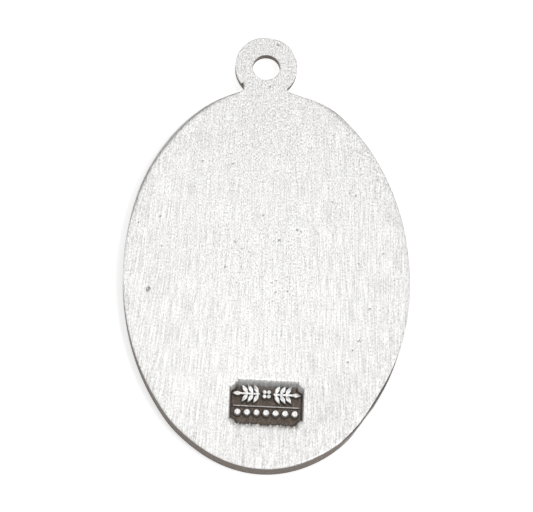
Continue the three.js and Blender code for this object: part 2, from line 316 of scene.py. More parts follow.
PITS = [
    Pit(-8.25, -1.04, 0.14, 0.09), Pit(-2.17, 2.49, 0.07, 0.05), Pit(0.91, 2.67, 0.07, 0.05),
    Pit(2.16, 3.45, 0.06, 0.04), Pit(2.44, 3.31, 0.05, 0.03), Pit(-1.73, 1.96, 0.05, 0.03),
    Pit(-0.23, 4.45, 0.06, 0.04), Pit(-2.88, 0.65, 0.06, 0.04), Pit(0.63, -1.16, 0.06, 0.04),
    Pit(1.47, -1.04, 0.06, 0.04), Pit(0.7, -0.32, 0.05, 0.03), Pit(0.36, -0.46, 0.05, 0.03),
    Pit(-2.07, -0.51, 0.05, 0.03), Pit(4.63, 5.55, 0.06, 0.04), Pit(6.3, 6.01, 0.06, 0.05),
    Pit(5.84, 6.2, 0.05, 0.03), Pit(-4.47, 8.43, 0.06, 0.04), Pit(-2.38, 8.26, 0.06, 0.04),
    Pit(-7.44, 4.27, 0.06, 0.04), Pit(-8.97, 3.82, 0.05, 0.04), Pit(-7.33, 2.08, 0.05, 0.03),
    Pit(8.18, 1.78, 0.06, 0.04), Pit(6.45, 1.02, 0.05, 0.03), Pit(7.19, -2.27, 0.06, 0.04),
    Pit(7.93, -2.37, 0.05, 0.03), Pit(6.4, -4.6, 0.07, 0.04), Pit(6.0, -5.28, 0.05, 0.03),
    Pit(5.64, -6.13, 0.06, 0.04), Pit(1.04, -4.24, 0.05, 0.03), Pit(0.83, 17.19, 0.07, 0.05),
    Pit(0.23, 14.04, 0.07, 0.05),
]

# Dark spots on the back: two dark blobs on the left of the loop's neck, painted shade above the hole, where
# its rounded edge turns from the light, and two stains on the plate.
STAINS_AND_SHADE = [
    StainAndShade(-1.74, 14.1, 0.14, 0.15, 1.3),
    StainAndShade(-1.67, 13.93, 0.09, 0.15, 1.1),
    # Painted shade above the hole.
    StainAndShade(0.0, 16.5, 0.5, 0.16, 0.24),
    StainAndShade(8.39, -6.76, 0.14, 0.12, 0.3),
    StainAndShade(-3.13, 3.21, 0.06, 0.09, 0.3),
]


def sizes(name):
    """One group of sizes, as the sidebar shows them."""
    return getattr(bpy.context.scene, "medal_" + name)


# Plans: closed outlines and loose points in the XY plane, each point with its height

def ellipse(half_width, half_height, angles, outward):
    """Points of an ellipse, moved outwards along its normals."""
    cos, sin = np.cos(angles), np.sin(angles)
    normal = np.column_stack([cos / half_width, sin / half_height])
    normal /= np.linalg.norm(normal, axis=1)[:, None]
    return np.column_stack([half_width * cos, half_height * sin]) + normal * np.reshape(outward, (-1, 1))


def round_angles(number):
    """Even angles of one full turn."""
    return 2 * math.pi * np.arange(number) / number


def on_circle(angles):
    """Points of a circle of radius 1."""
    return np.column_stack([np.cos(angles), np.sin(angles)])


def plate_height():
    loop = sizes("loop")
    return NODE_HIGH.y - NODE_LOW.y - loop.diameter + loop.overlap


def plate_middle():
    return np.array([0.0, NODE_LOW.y + plate_height() / 2])


def loop_middle():
    return np.array([0.0, NODE_HIGH.y - sizes("loop").diameter / 2])


def panel_middle():
    return plate_middle() - np.array([0.0, sizes("panel").below_middle])


def share_outwards(points):
    """How far out points lie: 0 in the plate's middle and 1 on its oval."""
    return np.linalg.norm((points - plate_middle()) / (sizes("plate").width / 2, plate_height() / 2), axis=1)


def in_panel(points):
    """Puts points that are given from the panel's own middle in their place on the plate."""
    cos, sin = math.cos(sizes("panel").turned), math.sin(sizes("panel").turned)
    return points @ np.array([[cos, sin], [-sin, cos]]) + panel_middle()


def plate_angles():
    return round_angles(sizes("plate").edge_points)


def bump_sum(angles, spots):
    """The sum of soft bumps round the plate."""
    degrees = np.degrees(angles)
    total = np.zeros(len(angles))
    for spot in spots:
        away = (degrees - spot.angle + 180) % 360 - 180
        total += spot.amount * np.exp(-((away / spot.spread) ** 2))
    return total


def plate_outline(inset):
    """The plate's filed oval, moved inwards."""
    plate = sizes("plate")
    angles = plate_angles()
    out = bump_sum(angles, FILED_SPOTS) - inset
    return ellipse(plate.width / 2, plate_height() / 2, angles, out) + plate_middle()


def arc(centre, radius, start, end, steps):
    angles = np.linspace(start, end, steps + 1)
    return centre + radius * on_circle(angles)


def neck_fillet(radius):
    """Centre of the fillet that touches the plate and the loop, on the right, found by halving."""
    plate, loop = sizes("plate"), sizes("loop")
    near, far = math.pi / 2, 0.0
    halvings = 50
    for _ in range(halvings):
        angle = (near + far) / 2
        centre = ellipse(plate.width / 2, plate_height() / 2, np.array([angle]), radius)[0]
        centre = centre + plate_middle()
        if np.linalg.norm(centre - loop_middle()) < loop.diameter / 2 + radius:
            near = angle
        else:
            far = angle
    on_plate = ellipse(plate.width / 2, plate_height() / 2, np.array([near]), 0)[0] + plate_middle()
    return centre, on_plate


def heading(vector):
    """Where a vector points, as an angle between 0 and a full turn."""
    return math.atan2(vector[1], vector[0]) % (2 * math.pi)


def loop_outline(inset):
    """From inside the plate up the right fillet, round the loop and down the left one."""
    loop = sizes("loop")
    right, first = fillet_arc(loop.right_fillet, inset)
    left, last = fillet_arc(loop.left_fillet, inset)
    ring_points = 121
    angles = np.linspace(first, math.pi - last, ring_points)[1:-1]
    radii = loop.diameter / 2 - inset + bump_sum(angles, LOOP_FILED_SPOTS)
    ring = loop_middle() + radii[:, None] * on_circle(angles)
    down = np.array([0, 2 * (loop.overlap - inset)])
    return np.vstack([(left[0] - down) * [-1, 1], right[0] - down, right, ring, (left * [-1, 1])[::-1]])


def fillet_arc(radius, inset):
    """A fillet on the right, from the plate up to the loop, and where it meets the loop."""
    centre, on_plate = neck_fillet(radius)
    start, end = heading(on_plate - centre), heading(loop_middle() - centre)
    steps = 12
    return arc(centre, radius + inset, start, end, steps), heading(centre - loop_middle()) - 2 * math.pi


def hole_outline(outward):
    """The hole's oval, moved outwards into the metal."""
    loop = sizes("loop")
    hole_points = 96
    oval = ellipse(loop.hole_width / 2, loop.hole_height / 2, round_angles(hole_points), outward)
    return oval + loop_middle() - [0, loop.hole_drop]


def panel_outline(inset, top_inset):
    """A rectangle with scooped corners, its straight sides cut into short steps."""
    panel = sizes("panel")
    if inset < 0:
        return pushed_out(panel_outline(0, 0), -inset)
    half = panel.width / 2
    low, high = -panel.height / 2, panel.height / 2 - (top_inset - inset)
    scoop = panel.scoop + inset
    start = math.asin(inset / scoop)
    quarter = math.pi / 2
    corners = [(half, low, 1), (half, high, 2), (-half, high, 3), (-half, low, 4)]
    steps = 10
    points = [
        arc(np.array([x, y]), scoop, (turns + 1) * quarter - start, turns * quarter + start, steps)
        for x, y, turns in corners
    ]
    return in_panel(evenly_cut(np.vstack(points), panel.mesh_step))


def pushed_out(points, distance):
    """A closed outline that runs round its middle to the left, moved outwards."""
    along = np.roll(points, -1, axis=0) - np.roll(points, 1, axis=0)
    normal = np.column_stack([along[:, 1], -along[:, 0]])
    return points + distance * normal / np.linalg.norm(normal, axis=1)[:, None]


def evenly_cut(points, step):
    """A closed outline with its long sides cut into shorter ones."""
    pieces = []
    for here, there in zip(points, np.roll(points, -1, axis=0)):
        parts = max(1, round(np.linalg.norm(there - here) / step))
        shares = np.arange(parts)[:, None] / parts
        pieces.append(here + (there - here) * shares)
    return np.vstack(pieces)


def cross_outline(grow):
    """A cross with flared arms, moved outwards."""
    front = sizes("front")
    arm, end = front.arm_width / 2 + grow, front.end_width / 2 + grow
    side, top = front.cross_span / 2 + grow, front.cross_height / 2 + grow
    bar = front.bar_height
    right = [(end, -top), (arm, bar - arm), (side, bar - end)]
    right += [(side, bar + end), (arm, bar + arm), (end, top)]
    left = [(-x, y) for x, y in reversed(right)]
    return np.array(right + left) + plate_middle()


def inside(points, outline):
    """Which points lie inside a closed outline."""
    x, y = points[:, 0], points[:, 1]
    hit = np.zeros(len(points), bool)
    for (x0, y0), (x1, y1) in zip(outline, np.roll(outline, -1, axis=0)):
        if y0 == y1:
            continue
        crosses = (y0 > y) != (y1 > y)
        hit ^= crosses & (x < x0 + (y - y0) * (x1 - x0) / (y1 - y0))
    return hit


def distance_to(points, outline):
    """How far each point lies from a closed outline."""
    best = np.full(len(points), np.inf)
    for here, there in zip(outline, np.roll(outline, -1, axis=0)):
        side = there - here
        along = np.clip(((points - here) @ side) / (side @ side), 0, 1)
        best = np.minimum(best, np.linalg.norm(points - here - along[:, None] * side, axis=1))
    return best


def filling(low, high, step):
    """A field of evenly spaced points, each row shifted by half a step."""
    rise = step * math.sqrt(3) / 2
    rows = np.arange(low[1], high[1], rise)
    columns = np.arange(low[0], high[0], step)
    x, y = np.meshgrid(columns, rows)
    x[1::2] += step / 2
    return np.column_stack([x.ravel(), y.ravel()])


def within(points, outline, margin):
    """The points that lie inside a closed outline, with a margin to it."""
    return points[inside(points, outline) & (distance_to(points, outline) > margin)]


def clear_of(points, outline, margin):
    """The points that lie outside a closed outline, with a margin to it."""
    return points[~inside(points, outline) & (distance_to(points, outline) > margin)]


def spaced(outline, step, margin):
    """Evenly spaced points inside a closed outline, with a margin to it."""
    return within(filling(outline.min(axis=0), outline.max(axis=0), step), outline, margin)


def rounded_edge(radius, steps=5):
    """Steps of a rounded edge: how far each lies in from the wall and down from the face."""
    angles = np.linspace(0, math.pi / 2, steps + 1)
    return [(radius * (1 - math.cos(a)), radius * (1 - math.sin(a))) for a in angles]


class Plan:
    """Points of one face of a body. The first outline added is the face's edge."""

    def __init__(self):
        self.points = []
        self.heights = []
        self.edges = []
        self.total = 0

    def add(self, points, heights, closed=True):
        number = len(points)
        if closed:
            index = self.total + np.arange(number)
            self.edges += zip(index.tolist(), np.roll(index, -1).tolist())
        self.points.append(np.asarray(points))
        self.heights.append(np.broadcast_to(heights, number).astype(float))
        self.total += number

    def triangulate(self, hole=None):
        """Vertices and triangles of the face, seen from +Z; a hole is given as a range of points."""
        flat = np.vstack(self.points)
        corners = [Vector(p) / MM for p in flat]
        made = delaunay_2d_cdt(corners, self.edges, [], 1, 1e-6, True)
        if len(made[0]) != len(corners):
            raise RuntimeError("two outlines of the medal cross each other")
        triangles = np.array(made[2])
        edge = len(self.points[0])
        on_edge = np.flatnonzero((triangles < edge).all(axis=1))
        outside = on_edge[~inside(flat[triangles[on_edge]].mean(axis=1), self.points[0])]
        triangles = np.delete(triangles, outside, axis=0)
        if hole is not None:
            in_hole = (triangles >= hole[0]) & (triangles < hole[1])
            triangles = triangles[~in_hole.all(axis=1)]
        return np.column_stack([flat, np.concatenate(self.heights)]), triangles


def linked(name, data):
    """A new object in the scene."""
    piece = bpy.data.objects.new(name, data)
    bpy.context.collection.objects.link(piece)
    return piece


def evaluated(piece):
    """The plain mesh that a piece's modifiers make."""
    return bpy.data.meshes.new_from_object(piece.evaluated_get(bpy.context.evaluated_depsgraph_get()))


class Body:
    """Vertices and faces gathered for one closed mesh."""

    def __init__(self):
        self.vertices = []
        self.faces = []
        self.total = 0

    def add_vertices(self, points):
        start = self.total
        self.vertices.append(points)
        self.total += len(points)
        return start

    def add_face(self, points, triangles, facing_up):
        start = self.add_vertices(points)
        order = triangles if facing_up else triangles[:, ::-1]
        self.faces += (order + start).tolist()
        return start

    def add_wall(self, upper, lower, rows, outwards=True):
        """A wall between two rings of as many vertices, given as index ranges, with rows between."""
        top = np.vstack(self.vertices)[upper]
        bottom = np.vstack(self.vertices)[lower]
        rings = [np.asarray(upper)]
        for row in range(1, rows):
            ring = top + (bottom - top) * row / rows
            start = self.add_vertices(ring)
            rings.append(start + np.arange(len(ring)))
        rings.append(np.asarray(lower))
        for above, below in zip(rings, rings[1:]):
            quads = np.column_stack([above, below, np.roll(below, -1), np.roll(above, -1)])
            self.faces += (quads if outwards else quads[:, ::-1]).tolist()

    def mesh(self, name):
        data = bpy.data.meshes.new(name)
        data.from_pydata(np.vstack(self.vertices).tolist(), [], self.faces)
        data.validate()
        return linked(name, data)


def ripple(points, size, seed):
    """Soft unevenness between -1 and 1 over the given size."""
    return np.array([noise.noise(Vector((x / size, y / size, seed))) for x, y in points])


# The plate

def back_edge_rounds():
    """The radius of the back's edge at each point round the plate."""
    return sizes("plate").back_round + bump_sum(plate_angles(), ROLLED_SPOTS)


def back_height(points):
    """Height of the back: it falls softly to its edge and round the panel, and ripples slightly."""
    plate = sizes("plate")
    border = np.clip(1 - (1 - share_outwards(points)) * plate.width / 2 / plate.pillow_reach, 0, 1.1)
    flat_from, fade, wave = 2.2 * MM, 1.5 * MM, 2.4 * MM
    below_loop = np.clip((plate_middle()[1] + plate_height() / 2 - flat_from - points[:, 1]) / fade, 0, 1)
    dip_depth, dip_reach = 0.025 * MM, 0.7 * MM
    dip = dip_depth * np.exp(-distance_to(points, panel_outline(0, 0)) / dip_reach)
    fall = plate.pillow * border ** 2
    return NODE_HIGH.z - below_loop * (plate.ripple * (1 + ripple(points, wave, 3.1)) / 2 + dip + fall)


def pit_plan(plan, points, on_loop=False):
    """Adds each pit as a small bowl of three rings and a centre; returns the points beside them."""
    for pit in PITS:
        centre = np.array([pit.x, pit.y]) * MM + plate_middle()
        if on_loop != (pit.y * MM > plate_height() / 2):
            continue
        top = NODE_HIGH.z if on_loop else back_height(centre[None])[0]
        ring_points = 12
        turns = round_angles(ring_points)
        for reach, drop in ((1.35, 0.0), (1.0, 0.15), (0.6, 0.75)):
            uneven = 1 + 0.22 * np.sin(2 * turns + pit.x * 7) + 0.12 * np.sin(3 * turns + pit.y * 5)
            ring = centre + reach * pit.radius * MM * uneven[:, None] * on_circle(turns)
            plan.add(ring, top - drop * pit.depth * MM)
        plan.add(centre[None], top - pit.depth * MM, closed=False)
        kept_clear = 2.0 * pit.radius * MM
        points = points[np.linalg.norm(points - centre, axis=1) > kept_clear]
    return points


def ragged(points):
    """Outlines of the panel, torn up and down where the brush ran over the lower lip."""
    panel = sizes("panel")
    low = smooth(-along_panel(points), panel.height * 0.25, panel.height * 0.5)
    tooth, upper_share = 0.1 * MM, 0.12
    torn = np.array([noise.noise(Vector((x / tooth, 0.5, 8.0))) for x in points[:, 0]])
    moved = points.copy()
    moved[:, 1] += panel.rag * torn * (upper_share + (1 - upper_share) * low)
    return moved


def panel_plan(plan):
    """The lip, the walls and the ground of the sunken panel."""
    panel = sizes("panel")
    top, ground = NODE_HIGH.z, NODE_HIGH.z - panel.depth
    lip = PANEL_LIP
    rows = [
        (-lip, -lip, -0.025 * MM),
        (0, 0, -0.045 * MM),
        (panel.side_slope * 0.3, panel.top_slope * 0.35, -0.09 * MM),
        (panel.side_slope * 0.65, panel.top_slope * 0.7, -0.2 * MM),
        (panel.side_slope, panel.top_slope, lip - panel.depth),
        (panel.side_slope + lip, panel.top_slope + lip, -panel.depth),
    ]
    for inset, top_inset, height in rows:
        plan.add(ragged(panel_outline(inset, top_inset)), top + height)
    foot = ragged(panel_outline(panel.side_slope + lip, panel.top_slope + lip))
    points = spaced(foot, panel.mesh_step, panel.mesh_step * 0.6)
    roughness, grain = 0.012 * MM, 0.13 * MM
    plan.add(points, ground + roughness * ripple(points, grain, 5.0), closed=False)


def plate_back():
    plate, panel = sizes("plate"), sizes("panel")
    plan = Plan()
    rounds = back_edge_rounds()
    for unit_in, unit_down in rounded_edge(1.0):
        ring = plate_outline(rounds * unit_in)
        plan.add(ring, back_height(ring) - rounds * unit_down)
    step, near_reach = plate.mesh_step, 0.5 * MM
    points = pit_plan(plan, spaced(plate_outline(rounds), step, step * 0.6))
    panel_plan(plan)
    lip = ragged(panel_outline(-PANEL_LIP, -PANEL_LIP))
    points = clear_of(points, lip, near_reach + step * 0.5)
    near = filling(lip.min(axis=0) - 4 * step, lip.max(axis=0) + 4 * step, panel.mesh_step * 1.6)
    near = clear_of(near, lip, panel.mesh_step)
    near = near[distance_to(near, lip) < near_reach]
    for loose in (near, points):
        plan.add(loose, back_height(loose), closed=False)
    return plan.triangulate()


def plate_front():
    """The rim, the field, the fine line and the cross, from the plate's edge inwards."""
    plate, front = sizes("plate"), sizes("front")
    plan = Plan()
    for inset, height in rounded_edge(plate.front_round):
        plan.add(plate_outline(plate.draft + inset), height)
    soft = 0.05 * MM
    foot = front.rim_width + front.slope
    line = foot + front.line_gap
    crest = front.depth - front.line_height
    quarter = front.line_width / 4
    rings = [
        (front.rim_width - soft, 0.0),
        (front.rim_width, 0.012 * MM),
        (front.rim_width + soft, 0.07 * MM),
        (foot - soft, front.depth - 0.05 * MM),
        (foot + soft, front.depth),
        (line, front.depth),
        (line + quarter, crest),
        (line + 3 * quarter, crest),
        (line + front.line_width, front.depth),
    ]
    for inset, height in rings:
        plan.add(plate_outline(inset), height)
    top = front.depth - front.relief
    steps = [
        (front.relief_slope + soft, front.depth),
        (front.relief_slope, front.depth - 0.02 * MM),
        (soft, top + 0.06 * MM),
        (0.0, top + 0.015 * MM),
        (-soft, top),
    ]
    for grow, height in steps:
        plan.add(evenly_cut(cross_outline(grow), front.mesh_step), height)
    points = spaced(plate_outline(line + front.line_width), front.mesh_step, front.mesh_step * 0.5)
    on_field = clear_of(points, cross_outline(front.relief_slope + soft), front.mesh_step * 0.4)
    on_cross = within(points, cross_outline(-soft), front.mesh_step * 0.4)
    dents, dent_size = 0.015 * MM, 0.9 * MM
    for loose, height, dent_share in ((on_field, front.depth, 1.0), (on_cross, top, 0.3)):
        hammered = dents * ripple(loose, dent_size, 2.0)
        plan.add(loose, height + dent_share * hammered, closed=False)
    return plan.triangulate()


def plate_body():
    number = sizes("plate").edge_points
    body = Body()
    back = body.add_face(*plate_back(), facing_up=True)
    front = body.add_face(*plate_front(), facing_up=False)
    ring = np.arange(number)
    body.add_wall(back + ring, front + ring, rows=8)
    return body.mesh("medal_plate")


# The loop

def loop_face(side, face_height):
    """One face of the loop; side is 1 for the back and -1 for the face under it."""
    loop = sizes("loop")
    edge_round, hole_round = loop.back_round, loop.hole_back_round
    if side < 0:
        edge_round, hole_round = loop.front_round, loop.hole_front_round
    plan = Plan()
    for inset, drop in rounded_edge(edge_round, 4):
        plan.add(loop_outline(inset), face_height - side * drop)
    hole_start = plan.total
    for inset, drop in rounded_edge(hole_round, 5):
        plan.add(hole_outline(inset), face_height - side * drop)
    hole = (hole_start, hole_start + len(hole_outline(0)))
    margin = loop.mesh_step * 0.6
    points = spaced(loop_outline(edge_round), loop.mesh_step, margin)
    points = clear_of(points, hole_outline(hole_round), margin)
    if side > 0:
        points = pit_plan(plan, points, on_loop=True)
    plan.add(points, face_height, closed=False)
    vertices, triangles = plan.triangulate(hole)
    return vertices, triangles, hole


def loop_body():
    body = Body()
    vertices, triangles, hole = loop_face(1, NODE_HIGH.z)
    back = body.add_face(vertices, triangles, facing_up=True)
    vertices, triangles, _ = loop_face(-1, NODE_HIGH.z - sizes("loop").thickness)
    front = body.add_face(vertices, triangles, facing_up=False)
    for ring, outwards in ((np.arange(len(loop_outline(0))), True), (np.arange(*hole), False)):
        body.add_wall(back + ring, front + ring, rows=4, outwards=outwards)
    return body.mesh("medal_loop")


# Node trees

class NodeTree:
    """Adds nodes to a tree; an input is given as a value or as another node's output."""

    def __init__(self, data):
        self.data = data

    def node(self, kind, inputs=None, output=0, **settings):
        made = self.data.nodes.new(kind)
        for key, value in settings.items():
            setattr(made, key, value)
        for key, value in (inputs or {}).items():
            self.join(value, made.inputs[key])
        return made.outputs[output]

    def join(self, value, socket):
        if isinstance(value, bpy.types.NodeSocket):
            self.data.links.new(value, socket)
        else:
            socket.default_value = value

    def maths(self, operation, *values):
        return self.node("ShaderNodeMath", dict(enumerate(values)), operation=operation)

    def plus(self, one, other):
        return self.maths("ADD", one, other)

    def minus(self, one, other):
        return self.maths("SUBTRACT", one, other)

    def times(self, one, other):
        return self.maths("MULTIPLY", one, other)

    def vector(self, x, y, z):
        return self.node("ShaderNodeCombineXYZ", {"X": x, "Y": y, "Z": z})

    def along_z(self, value):
        return self.vector(0.0, 0.0, value)

    def along_x(self, value):
        return self.vector(value, 0.0, 0.0)

    def scaled(self, vector, by):
        return self.node("ShaderNodeVectorMath", {0: vector, 1: by}, operation="MULTIPLY")

    def apart(self, vector):
        """The X, Y and Z of a vector."""
        return self.node("ShaderNodeSeparateXYZ", {"Vector": vector}).node.outputs[:]

    def noise(self, vector, scale=1.0, detail=2.0, roughness=0.5):
        inputs = {"Vector": vector, "Scale": scale, "Detail": detail, "Roughness": roughness}
        return self.node("ShaderNodeTexNoise", inputs)

    def ramp(self, value, low, high, **settings):
        inputs = {"Value": value, "From Min": low, "From Max": high}
        return self.node("ShaderNodeMapRange", inputs, **settings)

    def mix(self, factor, one, other):
        inputs = {"Factor": factor, "A": one, "B": other}
        return self.node("ShaderNodeMix", inputs, output="Result", data_type="RGBA")


class Group(NodeTree):
    """A node group with named inputs and outputs."""

    def __init__(self, name, kind="ShaderNodeTree"):
        super().__init__(bpy.data.node_groups.new(name, kind))
        self.source = self.data.nodes.new("NodeGroupInput")
        self.result = self.data.nodes.new("NodeGroupOutput")

    def takes(self, name, kind="Float", default=None):
        socket = self.data.interface.new_socket(name=name, in_out="INPUT", socket_type="NodeSocket" + kind)
        if default is not None:
            socket.default_value = default
        return self.source.outputs[name]

    def gives(self, name, kind, value):
        self.data.interface.new_socket(name=name, in_out="OUTPUT", socket_type="NodeSocket" + kind)
        self.join(value, self.result.inputs[name])


class Growth(Group):
    """A Geometry Nodes tree that makes a mesh of repeated forms."""

    def __init__(self, name):
        super().__init__(name, "GeometryNodeTree")
        self.takes("Geometry", "Geometry")

    def row(self, number, start, step):
        """Points along X."""
        places = {"Start Location": self.along_x(start), "Offset": self.along_x(step)}
        return self.node("GeometryNodeMeshLine", {"Count": number, **places})

    def turned(self, shape, angle):
        return self.node("GeometryNodeTransform", {"Geometry": shape, "Rotation": self.along_z(angle)})

    def instances(self, points, shape, **how):
        return self.node("GeometryNodeInstanceOnPoints", {"Points": points, "Instance": shape, **how})

    def finish(self, shape, middle):
        """Moves the shape to its place and makes it one plain mesh of silver."""
        moved = self.node("GeometryNodeTransform", {"Geometry": shape, "Translation": middle})
        real = self.node("GeometryNodeRealizeInstances", {"Geometry": moved})
        made = self.node("GeometryNodeSetMaterial", {"Geometry": real, "Material": silver_material()})
        self.gives("Geometry", "Geometry", made)

    def mesh(self, values):
        """The piece that the tree makes with the given values of its named inputs."""
        holder = linked(self.data.name, bpy.data.meshes.new(self.data.name))
        modifier = holder.modifiers.new(self.data.name, "NODES")
        modifier.node_group = self.data
        for item in self.data.interface.items_tree:
            if item.item_type == "SOCKET" and item.in_out == "INPUT" and item.name in values:
                modifier[item.identifier] = values[item.name]
        data = evaluated(holder)
        holder.modifiers.remove(modifier)
        holder.data = data
        return holder


def domes(name, in_a_ring):
    """Round domes with worn flat tops, in a ring round the middle or in a row along X."""
    tree = Growth(name)
    number = tree.takes("Count", "Int")
    spacing, radius, rise = (tree.takes(key) for key in ("Spacing", "Radius", "Rise"))
    middle = tree.takes("Middle", "Vector")
    if in_a_ring:
        circle = tree.node("GeometryNodeMeshCircle", {"Vertices": number, "Radius": spacing})
        points = tree.turned(circle, math.pi / 4)
    else:
        points = tree.row(number, tree.times(tree.minus(number, 1.0), tree.times(spacing, -0.5)), spacing)
    steps, cap_share = 24, 0.78
    ball = tree.node("GeometryNodeMeshUVSphere", {"Segments": steps, "Rings": steps, "Radius": radius})
    x, y, z = tree.apart(tree.node("GeometryNodeInputPosition"))
    cap = tree.times(radius, cap_share)
    worn_place = tree.vector(x, y, tree.maths("MINIMUM", z, cap))
    worn = tree.node("GeometryNodeSetPosition", {"Geometry": ball, "Position": worn_place})
    squash = tree.vector(1.0, 1.0, tree.maths("DIVIDE", rise, cap))
    tree.finish(tree.instances(points, worn, Scale=squash), middle)
    return tree


def sprig_leaves():
    """Pairs of leaves that lean away from a stem along +X, on one side and the other of it."""
    tree = Growth("sprig_leaves")
    leaf, number = tree.takes("Leaf", "Object"), tree.takes("Pairs", "Int")
    spacing, lean, ease, start, way = (tree.takes(k) for k in ("Spacing", "Lean", "Ease", "Start", "Heading"))
    middle = tree.takes("Middle", "Vector")
    shape = tree.node("GeometryNodeObjectInfo", {"Object": leaf}, output="Geometry")
    row = tree.row(number, start, spacing)
    opened = tree.minus(lean, tree.times(tree.node("GeometryNodeInputIndex"), ease))
    both = tree.node("GeometryNodeJoinGeometry")
    for side in (1.0, -1.0):
        leaned = tree.along_z(tree.times(opened, side))
        tree.join(tree.instances(row, shape, Rotation=leaned), both.node.inputs[0])
    tree.finish(tree.turned(both, way), middle)
    return tree


# The ornament in the panel

def loft(name, rings):
    """A closed body through rings of equally many points, lowest first."""
    body = Body()
    number = len(rings[0])
    starts = [body.add_vertices(np.asarray(ring)) for ring in rings]
    for low, high in zip(starts, starts[1:]):
        for i in range(number):
            after = (i + 1) % number
            body.faces.append([low + i, low + after, high + after, high + i])
    body.faces.append([starts[0] + i for i in reversed(range(number))])
    body.faces.append([starts[-1] + i for i in range(number)])
    return body.mesh(name)


def leaf_ring(scale, height):
    """A pointed leaf from its foot at the origin along +X."""
    panel = sizes("panel")
    along = np.linspace(0, 1, 9)
    swell, blunt = 0.85, 0.012 * MM
    half = panel.leaf_width / 2 * np.sin(math.pi * along ** swell) + blunt
    lower = np.column_stack([along * panel.leaf_length, -half])
    upper = np.column_stack([along * panel.leaf_length, half])[::-1]
    outline = np.vstack([lower, upper])
    centre = np.array([panel.leaf_length / 2, 0])
    return np.column_stack([centre + (outline - centre) * scale, np.full(len(outline), height)])


def relief_levels():
    """Scale and height of the levels of a raised form, from under the ground to its top."""
    panel = sizes("panel")
    low = NODE_HIGH.z - panel.depth - 0.1 * MM
    top = NODE_HIGH.z - panel.relief_below_back
    return [(1.12, low), (1.05, low + 0.22 * MM), (1.0, top - 0.07 * MM), (0.92, top - 0.02 * MM), (0.8, top)]


def bar(name, bar_length, width, centre, levels):
    """A straight bar along X with sloping sides."""
    rings = []
    for scale, height in levels:
        half = np.array([bar_length / 2 + (scale - 1) * width, width / 2 * scale])
        corners = np.array([[-1, -1], [1, -1], [1, 1], [-1, 1]]) * half + centre
        rings.append(np.column_stack([corners, np.full(4, height)]))
    return loft(name, rings)


def sprigs(levels):
    """The right and the left sprig, each as its leaves, its end leaf and its stem."""
    panel = sizes("panel")
    tree = sprig_leaves()
    leaf = loft("leaf", [leaf_ring(scale, height) for scale, height in levels])
    stem_length = panel.sprig_length + panel.leaf_length * 0.2
    pieces = []
    for way, angle in ((1, 0.0), (-1, math.pi)):
        leaves = tree.mesh({
            "Leaf": leaf,
            "Pairs": panel.leaf_pairs,
            "Spacing": panel.sprig_length / panel.leaf_pairs * 0.87,
            "Lean": panel.leaf_lean,
            "Ease": math.radians(4),
            "Start": panel.sprig_start + 0.1 * MM,
            "Heading": angle,
            "Middle": (0.0, panel.sprig_above, 0.0),
        })
        end = linked("end_leaf", leaf.data.copy())
        end.data.transform(
            Matrix.Translation((way * (panel.sprig_start + panel.sprig_length), panel.sprig_above, 0))
            @ Matrix.Rotation(angle, 4, "Z")
            @ Matrix.Diagonal((panel.end_leaf, 1, 1, 1))
        )
        stem_middle = np.array([way * (panel.sprig_start + stem_length / 2), panel.sprig_above])
        pieces += [leaves, end, bar("stem", stem_length, panel.stem_width, stem_middle, levels)]
    bpy.data.objects.remove(leaf)
    return pieces


def ornament():
    """The raised forms in the panel as one closed mesh, joined at a thousand times its size."""
    panel = sizes("panel")
    ground = NODE_HIGH.z - panel.depth
    rise = panel.depth - panel.relief_below_back
    pieces = sprigs(relief_levels())
    pieces.append(domes("rosette_petals", in_a_ring=True).mesh({
        "Count": 4,
        "Spacing": panel.petal_offset,
        "Radius": panel.petal_radius,
        "Rise": rise,
        "Middle": (0.0, panel.sprig_above, ground),
    }))
    pieces.append(domes("pearl_row", in_a_ring=False).mesh({
        "Count": panel.pearl_count,
        "Spacing": panel.pearl_pitch,
        "Radius": panel.pearl_diameter / 2,
        "Rise": rise,
        "Middle": (0.0, -panel.pearls_below, ground),
    }))
    low = ground - 0.1 * MM
    top = ground + panel.rule_height
    rule_levels = [(1.3, low), (1.1, top - 0.06 * MM), (0.7, top)]
    rule_length = panel.pearl_count * panel.pearl_pitch
    rule_middle = np.array([0.0, -panel.rule_below])
    pieces.append(bar("rule", rule_length, panel.rule_width, rule_middle, rule_levels))
    parts = [part for piece in pieces for part in parted(piece)]
    for part in parts:
        part.data.transform(Matrix.Scale(1 / MM, 4))
    raised = fused(parts[0], parts[1:])
    to_plate = Matrix.Translation((*panel_middle(), 0)) @ Matrix.Rotation(panel.turned, 4, "Z")
    raised.data.transform(to_plate @ Matrix.Scale(MM, 4))
    return raised


def parted(piece):
    """The separate closed parts that a mesh is made of."""
    bpy.ops.object.select_all(action="DESELECT")
    piece.select_set(True)
    bpy.context.view_layer.objects.active = piece
    bpy.ops.mesh.separate(type="LOOSE")
    return list(bpy.context.selected_objects)


def fused(target, others):
    """Joins closed meshes to the target and removes what they were made from."""
    for other in others:
        modifier = target.modifiers.new("fuse", "BOOLEAN")
        modifier.operation = "UNION"
        modifier.object = other
        modifier.solver = "MANIFOLD"
        data = evaluated(target)
        target.modifiers.remove(modifier)
        if len(data.vertices) == len(target.data.vertices):
            raise RuntimeError(f"{other.name} could not be joined to {target.name}")
        target.data = data
        bpy.data.objects.remove(other)
    return target


# The finish, with the depths under the back between which the metal changes

WEAR_AND_SHEEN_TO = (0.25 * MM, 0.5 * MM)
EDGE_DARKENS = (0.045 * MM, 0.17 * MM)
FOOT_BRIGHTENS = (0.5 * MM, 1.1 * MM)
LOOP_DARKENS = (0.07 * MM, 0.2 * MM)
PANEL_DARKENS = (0.17 * MM, 0.32 * MM)
# On the panel's upper wall the missing dark is painted light: the wall is kept lighter as if the light fell
# on it.
BRIGHTER_WALL = 0.75  # how much of the dark is missing under the loop and on the panel's upper wall


